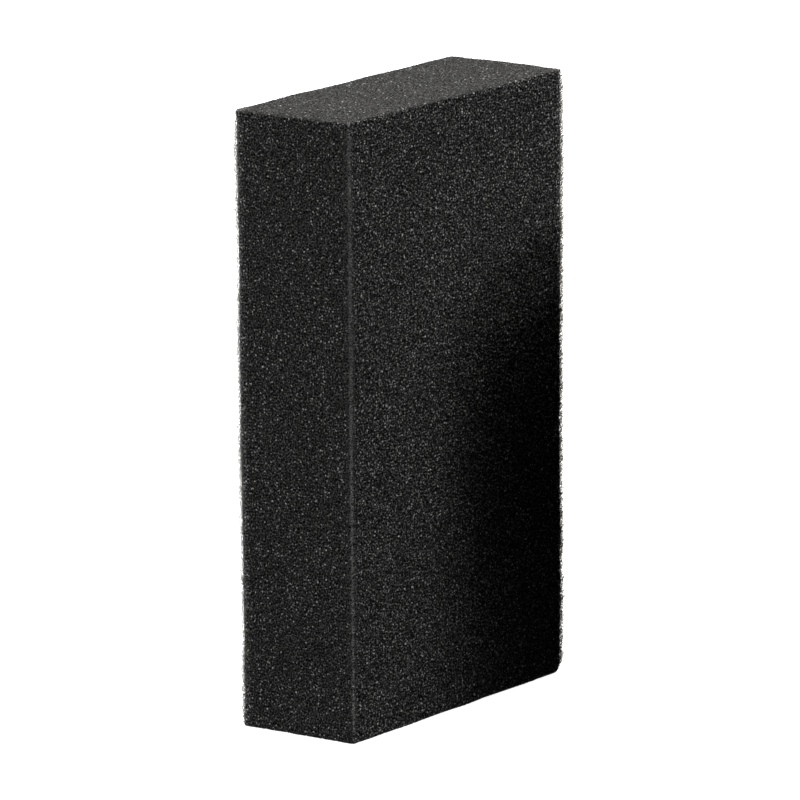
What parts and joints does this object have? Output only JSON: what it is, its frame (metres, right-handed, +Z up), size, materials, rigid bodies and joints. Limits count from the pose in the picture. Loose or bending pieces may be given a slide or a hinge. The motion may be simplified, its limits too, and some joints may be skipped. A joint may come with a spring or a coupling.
{
  "type": "chalkboard eraser",
  "caption": "Plain rectangular chalkboard eraser cut from soft black open-cell foam, with square edges and flat wiping faces.",
  "frame": {"origin": "middle of the small end that the block stands on", "axes": "+Z up along the block's length, X along its width, Y through its thickness, with a broad wiping face towards -Y"},
  "size_m": [0.07, 0.026, 0.12],
  "materials": {
    "open_cell_foam": "matte"
  },
  "bodies": {
    "root": {"foam_block": "open_cell_foam"}
  },
  "joints": []
}
